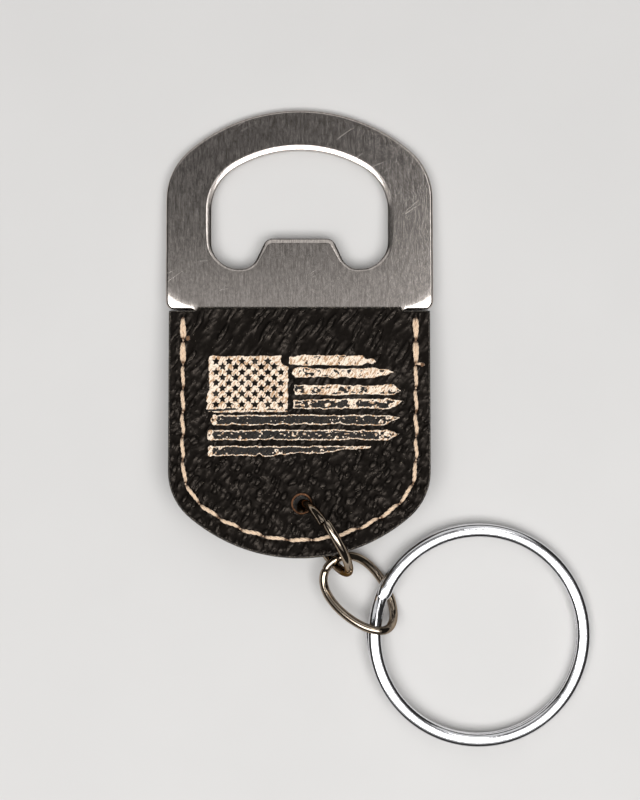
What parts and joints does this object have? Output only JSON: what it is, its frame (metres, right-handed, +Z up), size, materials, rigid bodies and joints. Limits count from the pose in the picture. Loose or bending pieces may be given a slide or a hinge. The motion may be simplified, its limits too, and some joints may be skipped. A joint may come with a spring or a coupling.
{
  "type": "keychain bottle opener",
  "caption": "Flat steel bottle opener head with a D-shaped mouth and tongue, in a stitched leather grip, with a jump ring, a twisted link and a split key ring.",
  "frame": {"origin": "centre of the whole object's footprint, on the table it lies on", "axes": "+Y towards the steel head, +X to the right, +Z up from the table"},
  "size_m": [0.0708, 0.1062, 0.0146],
  "materials": {
    "brushed_steel": "fine brushing along the length, soft edges",
    "black_leather": "black pebbled grain with raw cut edges",
    "filler": "dark compressed filler, seen only as an edge",
    "thread": "twisted cream thread",
    "dark_nickel": "dark polished nickel",
    "chrome": "bright polished chrome"
  },
  "bodies": {
    "opener": {"opener_plate": "brushed_steel", "front_leather_panel": "black_leather", "back_leather_panel": "black_leather", "filler_core": "filler", "front_stitching": "thread", "back_stitching": "thread"},
    "jump_ring": {"jump_ring": "dark_nickel"},
    "chain_link": {"chain_link": "dark_nickel"},
    "key_ring": {"key_ring": "chrome"}
  },
  "joints": [
    {"name": "swivel", "type": "hinge", "parent": "opener", "child": "jump_ring", "pos_m": [-0.01276, -0.01249, 0.0066], "axis": [0, 0.0872, 0.9962], "range_deg": [-80, 5]},
    {"name": "swing", "type": "hinge", "parent": "jump_ring", "child": "chain_link", "pos_m": [-0.00684, -0.02307, 0.00336], "axis": [0, 0, 1], "range_deg": [-50, 5]},
    {"name": "lift", "type": "hinge", "parent": "chain_link", "child": "key_ring", "pos_m": [-0.00012, -0.02999, 0.00306], "axis": [-0.2585, -0.9659, 0.0126], "range_deg": [-12, 50]}
  ]
}
